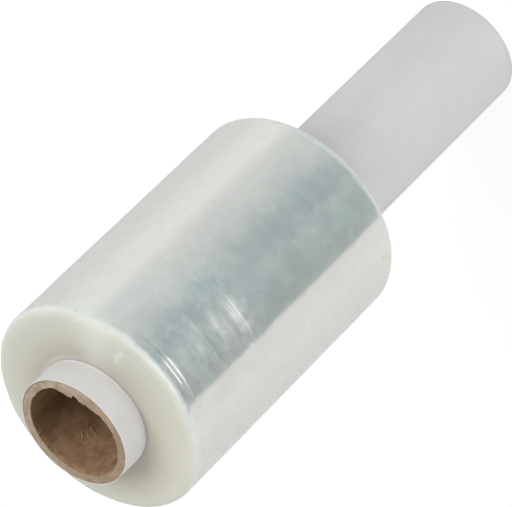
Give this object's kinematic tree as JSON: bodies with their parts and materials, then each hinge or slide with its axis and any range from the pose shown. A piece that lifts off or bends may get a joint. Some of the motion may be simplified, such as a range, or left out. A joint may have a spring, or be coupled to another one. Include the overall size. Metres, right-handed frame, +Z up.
{
  "type": "stretch wrap hand roll",
  "caption": "Hand roll of clear stretch film wound on a longer paper core, with the core standing out as a grip handle at one end and a short stub at the other.",
  "frame": {"origin": "centre of the open end of the handle, on the floor that the roll stands on", "axes": "+Z up along the core's axis, from the handle's end to the stub's end; the roll is round about Z"},
  "size_m": [0.0864, 0.0864, 0.254],
  "materials": {
    "brown_board": "bare brown paper board, matt",
    "white_paper": "smooth uncoated white paper, matt",
    "stretch_film": "clear stretch film wound thick, milky, glossy outside and satin on the cut ends"
  },
  "bodies": {
    "root": {"core_board_tube": "brown_board", "core_cover_ply": "white_paper", "film_roll": "stretch_film"}
  },
  "joints": []
}
